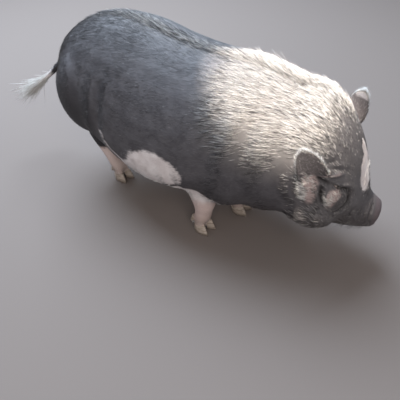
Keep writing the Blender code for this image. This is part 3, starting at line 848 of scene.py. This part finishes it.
def bristle_points(root, way, side, out, long, thick, raised, curl, rings):
    """The corners of each bristle: three for each ring, then its tip."""
    points = np.empty((len(root), 3 * rings + 1, 3))
    here = root
    for ring in range(rings):
        angle = (raised - math.radians(curl) * ring / rings)[:, None]
        ahead = way * np.cos(angle) + out * np.sin(angle)
        over = np.cross(side, ahead)
        size = (thick * RING_SIZES[ring])[:, None] / 2
        for k in range(3):
            turn = math.radians(90 + 120 * k)
            across = side * math.cos(turn) + FLATNESS * over * math.sin(turn)
            points[:, 3 * ring + k] = here + size * across
        here = here + ahead * (long / rings)[:, None]
    points[:, -1] = here
    return points


def bristle_faces(rings):
    """The triangles of one bristle: its foot, the bands between its rings, and its tip."""
    faces = [(0, 1, 2)]
    for ring in range(rings - 1):
        for k in range(3):
            a, b = 3 * ring + k, 3 * ring + (k + 1) % 3
            faces += [(a, b + 3, b), (a, a + 3, b + 3)]
    last = 3 * (rings - 1)
    return faces + [(last + k, 3 * rings, last + (k + 1) % 3) for k in range(3)]


def mesh_of(name, points, faces):
    """A mesh from an array of points and an array of triangles."""
    made = bpy.data.meshes.new(name)
    made.vertices.add(len(points))
    made.vertices.foreach_set("co", points.astype(np.float32).ravel())
    made.loops.add(faces.size)
    made.loops.foreach_set("vertex_index", faces.astype(np.int32).ravel())
    made.polygons.add(len(faces))
    made.polygons.foreach_set("loop_start", np.arange(0, faces.size, 3, dtype=np.int32))
    made.update(calc_edges=True)
    return made


print("a bristle of three rings has", len(bristle_faces(3)), "triangles")

# %% Grow one piece of the coat
MOST_TRIANGLES = 196000
UV_PATCH = 0.003
ROOT_DEPTH = 0.0015
YAW_SPREAD = 0.20
coats = []


def grow(name, slot, wanted, density, length, width, lift, curl=14, rings=2, seed=1):
    """One coat piece. density weighs the skin's faces. length and lift can be functions of the roots."""
    draw = np.random.default_rng(seed)
    weight = areas * density
    count = min(wanted, MOST_TRIANGLES // (6 * rings - 2))
    face = np.sort(draw.choice(len(areas), count, p=weight / weight.sum()))
    share = draw.dirichlet((1, 1, 1), count)
    at = triangles[face]
    root = (places[at] * share[..., None]).sum(axis=1)
    out = unit((normals[at] * share[..., None]).sum(axis=1))
    way = lie_at(root, out, face_leg[face], {ear: face_ear[ear][face] for ear in EARS})
    side = np.cross(way, out)
    yaw = draw.normal(0, YAW_SPREAD, count)[:, None]
    way = unit(way * np.cos(yaw) + unit(side) * np.sin(yaw))
    side = unit(np.cross(way, out))
    long = (length(root) if callable(length) else length) * draw.uniform(0.60, 1.15, count)
    thick = width * draw.uniform(0.6, 1.2, count)
    raised = np.radians((lift(root) if callable(lift) else lift) * draw.uniform(0.5, 1.5, count))
    points = bristle_points(root - out * ROOT_DEPTH, way, side, out, long, thick, raised, curl, rings)
    per = points.shape[1]
    faces = np.array(bristle_faces(rings))[None] + per * np.arange(count)[:, None, None]
    faces = faces.reshape(-1, 3)
    made = mesh_of(name, bend(points.reshape(-1, 3)), faces)
    piece = bpy.data.objects.new(name, made)
    bpy.context.scene.collection.objects.link(piece)
    add_attribute(made, "place", np.repeat(root, per, axis=0))
    marks = {"white": white, "pink": pink, "silver_and_sunlight": silver_and_sunlight, "rim": rim, "leg": leg_share}
    for key, values in marks.items():
        add_attribute(made, key, np.repeat((values[at] * share).sum(axis=1), per))
    add_attribute(made, "chance", np.repeat(draw.uniform(0, 1, count), per))
    tip = np.ones(per)
    tip[: 3 * rings] = np.repeat(np.arange(rings) / rings, 3)
    add_attribute(made, "tip", np.tile(tip, count))
    centre = (face_uv[face] * share[..., None]).sum(axis=1)
    patch = np.stack([np.linspace(-0.5, 0.5, per), np.tile([-0.5, 0.5], per)[:per]], 1) * UV_PATCH
    laid = (centre[:, None] + patch[None]).clip(0, 1).reshape(-1, 2)
    sheet = made.uv_layers.new(name="OFBake")
    sheet.uv.foreach_set("vector", laid[faces.ravel()].astype(np.float32).ravel())
    made.shade_smooth()
    coats.append((piece, slot))
    print(name, count, "bristles,", len(faces), "triangles")
    return piece


# %% [markdown]
# ## The coat, piece by piece
#
# Most bristles are short and nearly flat. They are split into pieces by region, which keeps each mesh
# small: two flanks, back, underside, head, legs and ears. The crest along neck and back stands up, and a
# mantle of long bristles lies over neck and shoulders, where the coat is silver, and there partly painted
# sunlight. The ears carry pale fringes, pale hair covers the cheek pads, whiskers stand on the chin, and
# the tail ends in a loose white switch.

# %% Regions
x, y, z = face_places.T
up = face_normals[:, 2]
ear_face = sum(face_ear.values()) > 0
face_lid = lid[triangles].mean(axis=1)
around_eye = from_eyes(face_places)
snout_disc = ease(x, 0.525, 0.533)
in_face_fold = face_fold * 0.8 * (x > 0.36)
covered = (1 - 0.95 * snout_disc) * (1 - in_face_fold) * (z > 0.022) * ease(around_eye, 0.012, 0.020)
on_body = (x < 0.335) & (x > -0.345) & (face_leg < 0.5) & (z > 0.075)
on_back = on_body & (np.abs(y) < 0.095) & (up > 0.2) & (z > 0.25)
on_under = on_body & (z < 0.17) & (up < 0.1)
on_side = on_body & ~on_back & ~on_under
on_head = (x > 0.335) & ~ear_face
on_tail = x < -0.345
print("faces on the back, underside and sides:", on_back.sum(), on_under.sum(), on_side.sum())


def body_length(root):
    """Longer along the back, shorter low on the flank."""
    return 0.022 + 0.010 * ease(root[:, 2], 0.24, 0.42)


def head_length(root):
    """Short on the face, and shortest on the muzzle and round the eyes."""
    near_eyes = 0.45 + 0.55 * ease(from_eyes(root), 0.014, 0.040)
    return (0.021 - 0.012 * ease(root[:, 0], 0.39, 0.50)) * near_eyes


def some(count):
    return int(count * (1.0))


for name, region, width, lift, seed in (
    ("coat_flank_right", on_side & (y < 0), 0.00085, 3.5, 11),
    ("coat_flank_left", on_side & (y > 0), 0.00085, 3.5, 12),
    ("coat_back", on_back, 0.00088, 4.5, 13),
):
    grow(name, "dark_hide", some(49000), covered * region, body_length, width, lift, rings=1, seed=seed)
leg_cover = covered * (face_leg > 0.5) * ~on_tail
ear_cover = ear_face * (0.7 + 0.8 * face_rim)
grow("coat_underside", "dark_hide", some(12000), covered * on_under, 0.017, 0.0009, 10, seed=14)
grow("coat_head", "dark_hide", some(19600), covered * on_head, head_length, 0.00095, 9, seed=15)
grow("coat_legs", "pale_hide", some(9000), leg_cover, 0.010, 0.0007, 9, seed=16)
grow("coat_ears", "dark_hide", some(7000), ear_cover, 0.0085, 0.00050, 17, 22, seed=17)
grow("ear_fringe", "pale_hide", some(1300), ear_face * face_rim**2, 0.0125, 0.00050, 26, 16, seed=18)

# %% Crest and mantle
MANTLE_FROM = 0.21


def crest_lift(root):
    """Degrees off the skin: most on the neck, least on the back."""
    return 14 + 12 * ease(root[:, 0], 0.10, 0.25) - 8 * ease(root[:, 0], 0.36, 0.43)


def crest_length(root):
    """Longest on the neck, shortest on the brow."""
    return 0.030 + 0.010 * ease(root[:, 0], 0.10, 0.25) - 0.018 * ease(root[:, 0], 0.33, 0.42)


on_crest = np.exp(-((y / 0.014) ** 2)) * (up > 0.15) * ease(x, -0.30, -0.10) * (1 - ease(x, 0.425, 0.440))
on_crest = on_crest * (~ear_face & (z > 0.30))
grow("crest", "dark_hide", some(5500), on_crest, crest_length, 0.0010, crest_lift, 22, 3, seed=21)
on_mantle = (silver_and_sunlight_at(face_places) - MANTLE_FROM).clip(0) * (on_body | on_head) * (up > -0.3)
grow("mantle", "dark_hide", some(14000), on_mantle, 0.034, 0.00088, 8, 14, seed=27)

# %% Cheeks, whiskers and lashes
right = one_side(face_places, -1)
cheeks = np.maximum(
    mound(right, (0.437, -0.100, 0.215), (0.034, 0.05, 0.040)),
    mound(right, (0.381, -0.122, 0.250), (0.026, 0.05, 0.040)),
).clip(0, 1) * ease(around_eye, 0.013, 0.020)
grow("cheek_bristles", "pale_hide", some(2200), cheeks, 0.016, 0.00070, 12, 18, 3, seed=22)
chin = ease(x, 0.455, 0.48) * (1 - ease(x, 0.520, 0.530)) * (z < 0.165) * (up < 0.3)
grow("whiskers", "dark_hide", some(420), chin, 0.020, 0.0006, 40, 10, 3, seed=23)
grow("lashes", "dark_hide", 130, face_lid**2, 0.0085, 0.0005, 45, 30, 3, seed=25)

# %% Tail
grow("tail_coat", "dark_hide", some(1500), on_tail, 0.018, 0.0008, 10, seed=24)


def switch_length(root):
    """The hairs at the tail's very end are the longest."""
    return 0.040 + 0.062 * ease(-root[:, 0], 0.405, 0.440)


at_end = ease(-x, 0.405, 0.430)
switch = grow("long_tail_hairs", "white_hair", some(900), at_end, switch_length, 0.0011, 7, 10, 4, seed=26)

# %% [markdown]
# ## Eyes and claws
#
# Each eyeball is a sphere with a cornea that stands out a little. Its iris comes from the angle to the
# way it looks. The horn claws are remeshed finely from the solids, with growth rings, and keep their flat
# soles.

# %% Eyeballs
CORNEA_STAND = 0.0007

eyes = []
for side, name in ((-1, "eye_right"), (1, "eye_left")):
    middle, look = balls[side]
    bpy.ops.mesh.primitive_uv_sphere_add(segments=48, ring_count=32, radius=BALL_RADIUS)
    ball = bpy.context.object
    ball.name = f"{name}_ball"
    way = unit(points_of(ball.data))
    angle = np.arccos((way @ look).clip(-1, 1))
    bulge = CORNEA_STAND * (1 - ease(angle, 0.35, 0.75))
    set_points(ball.data, bend(middle + way * (BALL_RADIUS + bulge)[:, None]))
    add_attribute(ball.data, "angle", angle)
    bpy.ops.object.shade_smooth()
    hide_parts(name)
    eyes.append(ball)
print("eyeballs", [ball.name for ball in eyes])

# %% Claws
CLAW_VOXEL = 0.0012
RING_GAP, RING_DEPTH = 0.0046, 0.00022
SOLE_TOP = 0.0016

claws = []
for name in [n for n in nodes if "hoof" in n or "dewclaw" in n]:
    claw = bpy.data.objects.new(f"{name}_horn", nodes[name].data.copy())
    bpy.context.scene.collection.objects.link(claw)
    claw.data.materials.clear()
    select_only(claw)
    finer = claw.modifiers.new("finer", "REMESH")
    finer.mode = "VOXEL"
    finer.voxel_size = CLAW_VOXEL
    softer = claw.modifiers.new("softer", "SMOOTH")
    softer.factor, softer.iterations = 0.5, 5
    apply_all(claw)
    points = points_of(claw.data)
    outward = normals_of(points, triangles_of(claw.data))
    growth = np.sin(points[:, 2] / RING_GAP * 2 * np.pi + 3 * points[:, 0] / 0.05)
    points = points + outward * (RING_DEPTH * growth)[:, None]
    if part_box(name)[0].z < 0.001:
        points[points[:, 2] < SOLE_TOP, 2] = 0.0
    set_points(claw.data, points)
    bpy.ops.object.shade_smooth()
    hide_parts(name)
    claws.append(claw)
print("claws", sum(len(claw.data.polygons) for claw in claws), "faces")

# %% [markdown]
# ## Paint
#
# The colours are worked out from the numbers that skin and bristles carry. `Value` lets that be written
# as sums: an expression on values adds the Math nodes that it needs.

# %% Shader maths
BUMP_DISTANCE, BUMP_STRENGTH = 0.0005, 0.7


class Value:
    """One output of a shader node. A sum or product of values adds the Math node for it."""

    def __init__(self, paint, socket):
        self.paint, self.socket = paint, socket

    def math(self, operation, one, other=0.0):
        return self.paint.node("ShaderNodeMath", {"operation": operation}, {0: one, 1: other})

    def __add__(self, other):
        return self.math("ADD", self, other)

    def __sub__(self, other):
        return self.math("SUBTRACT", self, other)

    def __rsub__(self, other):
        return self.math("SUBTRACT", other, self)

    def __mul__(self, other):
        return self.math("MULTIPLY", self, other)

    def fraction(self):
        return self.math("FRACT", self)

    def rise(self, start, end):
        """0 up to the start, 1 from the end."""
        settings = {"interpolation_type": "SMOOTHSTEP"}
        sockets = {"Value": self, "From Min": start, "From Max": end}
        return self.paint.node("ShaderNodeMapRange", settings, sockets)

    __radd__ = __add__
    __rmul__ = __mul__


class Paint:
    """A material with a Principled shader."""

    def __init__(self, name, **fixed):
        self.material = bpy.data.materials.new(name)
        self.material.use_nodes = True
        self.tree = self.material.node_tree
        self.shader = self.tree.nodes["Principled BSDF"]
        self.give(**fixed)

    def node(self, kind, settings, sockets, output=0):
        """Adds a node, sets its settings, and then gives its sockets their values or links."""
        node = self.tree.nodes.new(kind)
        for key, value in settings.items():
            setattr(node, key, value)
        for key, value in sockets.items():
            self.fill(node.inputs[key], value)
        return Value(self, node.outputs[output])

    def fill(self, socket, value):
        if isinstance(value, Value):
            self.tree.links.new(value.socket, socket)
        else:
            socket.default_value = (*value, 1) if socket.type == "RGBA" else value

    def give(self, **values):
        for key, value in values.items():
            self.fill(self.shader.inputs[key.replace("_", " ")], value)

    def attribute(self, name, output):
        return self.node("ShaderNodeAttribute", {"attribute_name": name}, {}, output)

    def number(self, name):
        return self.attribute(name, "Fac")

    def vector(self, name, scale):
        """A vector attribute, times a scale for each axis."""
        return self.scaled(self.attribute(name, "Vector"), scale)

    def scaled(self, vector, scale):
        return self.node("ShaderNodeVectorMath", {"operation": "MULTIPLY"}, {0: vector, 1: scale})

    def noise(self, vector, detail):
        sockets = {"Vector": vector, "Scale": 1.0, "Detail": detail, "Roughness": 0.6}
        return self.node("ShaderNodeTexNoise", {}, sockets)

    def cells(self, vector):
        """How far a place is from the border of its cell, for small scales."""
        settings = {"feature": "DISTANCE_TO_EDGE"}
        return self.node("ShaderNodeTexVoronoi", settings, {"Vector": vector, "Scale": 1.0})

    def mix(self, share, one, other):
        """The first colour where the share is 0, the other where it is 1."""
        return self.node("ShaderNodeMix", {"data_type": "RGBA"}, {0: share, 6: one, 7: other}, 2)

    def bump(self, height):
        sockets = {"Height": height, "Distance": BUMP_DISTANCE, "Strength": BUMP_STRENGTH}
        self.give(Normal=self.node("ShaderNodeBump", {}, sockets))

    def axis(self, vector, name):
        """One axis of a vector, such as Z."""
        return self.node("ShaderNodeSeparateXYZ", {}, {0: vector}, name)

    def place(self, name):
        return self.axis(self.attribute("place", "Vector"), name)


def ham_painted_shade(paint):
    """1 on the hams behind the flank fold, where hide and hair are painted darkest as shade, and 0
    elsewhere.
    """
    return (1 - paint.place("X").rise(-0.150, -0.100)) * (1 - paint.place("Z").rise(0.25, 0.37))


# %% Hide
hide = Paint("hide", Roughness=0.62, Specular_IOR_Level=0.35)
mottle = hide.noise(hide.vector("grain", (28, 28, 28)), 5.0)
streaks = hide.noise(hide.vector("grain", (60, 420, 420)), 3.0)
scales = hide.cells(hide.vector("grain", (260, 420, 420)))
fine = hide.noise(hide.vector("place", (900, 900, 900)), 3.0)
height, front = hide.place("Z"), hide.place("X")
broken = (mottle - 0.5) * 0.9 + (streaks - 0.5) * 0.8
is_white_and_sunlit = (hide.number("white") + broken).rise(0.28, 0.72)
is_pink = (hide.number("pink") + broken * 0.9).rise(0.15, 0.95)
is_rim = (hide.number("rim") + (streaks - 0.5) * 0.6).rise(0.45, 0.85)
slate = hide.mix(mottle.rise(0.35, 0.65), (0.046, 0.042, 0.047), (0.072, 0.067, 0.073))
slate = hide.mix(streaks.rise(0.40, 0.75) * 0.5, slate, (0.108, 0.102, 0.107))
# Paler hide under the silver bristles; on neck and shoulders this is partly painted sunlight.
slate = hide.mix(hide.number("silver_and_sunlight") * 1.4, slate, (0.165, 0.152, 0.145))
# Low on the body the hide turns a darker, warmer brown: painted shade under the body and painted warm light
# bounced from the ground.
slate = hide.mix((1 - height.rise(0.05, 0.22)) * 0.55, slate, (0.052, 0.042, 0.039))
# Painted shade: the hide on the lower hams is mixed towards near black.
slate = hide.mix(ham_painted_shade(hide) * 0.85, slate, (0.014, 0.012, 0.014))
pale = hide.mix(mottle.rise(0.30, 0.70), (0.53, 0.470, 0.460), (0.68, 0.630, 0.620))
pale = hide.mix(hide.number("leg") * 0.6, pale, (0.50, 0.340, 0.290))
pale = hide.mix((1 - height.rise(0.01, 0.09)) * (0.35 + mottle * 0.6), pale, (0.235, 0.180, 0.145))
colour = hide.mix(is_white_and_sunlit, slate, pale)
colour = hide.mix(is_pink * 0.75, colour, (0.47, 0.360, 0.335))
colour = hide.mix(hide.number("ear") * (1 - is_rim) * 0.4, colour, (0.140, 0.108, 0.104))
colour = hide.mix(is_rim * 0.9, colour, (0.58, 0.48, 0.42))
colour = hide.mix(front.rise(0.526, 0.534) * 0.9, colour, (0.085, 0.066, 0.070))
# Painted shade: the bottoms of the folds, the creases round the lids and the insides of the eye slits go
# near black.
colour = hide.mix(hide.number("fold").rise(0.25, 1.0) * 0.85, colour, (0.012, 0.010, 0.010))
hide.give(Base_Color=colour, Roughness=0.50 + mottle * 0.25)
hide.bump(scales.rise(0.0, 0.3) * 0.25 + fine * 0.4 + streaks * 0.7)

# %% Bristles
coat = Paint("bristles", Roughness=0.50, Specular_IOR_Level=0.3)
chance, tip = coat.number("chance"), coat.number("tip")
other_chance = (chance * 7.31).fraction()
third_chance = (chance * 31.7).fraction()
low = 1 - coat.place("Z").rise(0.06, 0.24)
dark = coat.mix(other_chance, (0.020, 0.018, 0.020), (0.066, 0.060, 0.063))
# Low on the body some dark bristles turn warm brown: painted warm light bounced from the ground.
dark = coat.mix(low * other_chance * 0.7, dark, (0.080, 0.056, 0.044))
# Painted shade: the bristles on the lower hams are mixed towards near black.
dark = coat.mix(ham_painted_shade(coat) * 0.85, dark, (0.010, 0.009, 0.010))
silver_and_sunlight = coat.mix(third_chance, (0.30, 0.28, 0.265), (0.60, 0.57, 0.54))
# Which bristles are silver; on neck and shoulders this is partly painted sunlight.
is_silver_and_sunlight = (coat.number("silver_and_sunlight") * 1.25 + 0.05 - chance).rise(-0.01, 0.01)
hair = coat.mix(is_silver_and_sunlight * (0.55 + tip * 0.45), dark, silver_and_sunlight)
white_hair = coat.mix(third_chance, (0.54, 0.51, 0.48), (0.82, 0.80, 0.77))
hair_white_and_sunlit = coat.number("white") + (other_chance - 0.5) * 0.95
hair_white_and_sunlit = hair_white_and_sunlit + coat.number("rim") * 0.70 + coat.number("pink") * 0.80
hair = coat.mix(hair_white_and_sunlit.rise(0.46, 0.54), hair, white_hair)
coat.give(Base_Color=hair)

# %% Horn and eye
horn = Paint("horn", Roughness=0.5)
spot = horn.node("ShaderNodeTexCoord", {}, {}, "Object")
rings = horn.noise(horn.scaled(spot, (60, 60, 420)), 3.0)
level = horn.axis(spot, "Z")
horn_colour = horn.mix(rings.rise(0.35, 0.65), (0.21, 0.165, 0.130), (0.42, 0.35, 0.29))
horn_colour = horn.mix((1 - level.rise(0.0, 0.014)) * 0.8, horn_colour, (0.085, 0.062, 0.048))
horn.give(Base_Color=horn_colour)
horn.bump(rings)

eye_paint = Paint("wet_eye", Roughness=0.06, Coat_Weight=1.0, Coat_Roughness=0.02)
from_look = eye_paint.number("angle")
iris = eye_paint.mix(from_look.rise(0.22, 0.30), (0.002, 0.002, 0.002), (0.050, 0.024, 0.012))
eye_paint.give(Base_Color=eye_paint.mix(from_look.rise(0.60, 0.80), iris, (0.13, 0.085, 0.070)))

# %% [markdown]
# ## Put together
#
# Every piece gets its material and rides the root body, so that it stands still with the rest, and the
# solids that the skin covers are hidden.

# %% Pieces, materials and hidden solids
skin.data.materials.append(hide.material)
for piece, slot in coats:
    piece.data.materials.append(coat.material)
    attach(piece, "root")
for ball in eyes:
    ball.data.materials.append(eye_paint.material)
    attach(ball, "root")
for claw in claws:
    claw.data.materials.append(horn.material)
    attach(claw, "root")
flesh = [name for name in nodes if not (name.startswith("eye") or "hoof" in name or "dewclaw" in name)]
flesh.remove("tail_switch")
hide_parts(*flesh)
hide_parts("tail_switch")
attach(skin, "root")
for piece in [skin, *(piece for piece, slot in coats), *eyes, *claws]:
    lit.objects.link(piece)
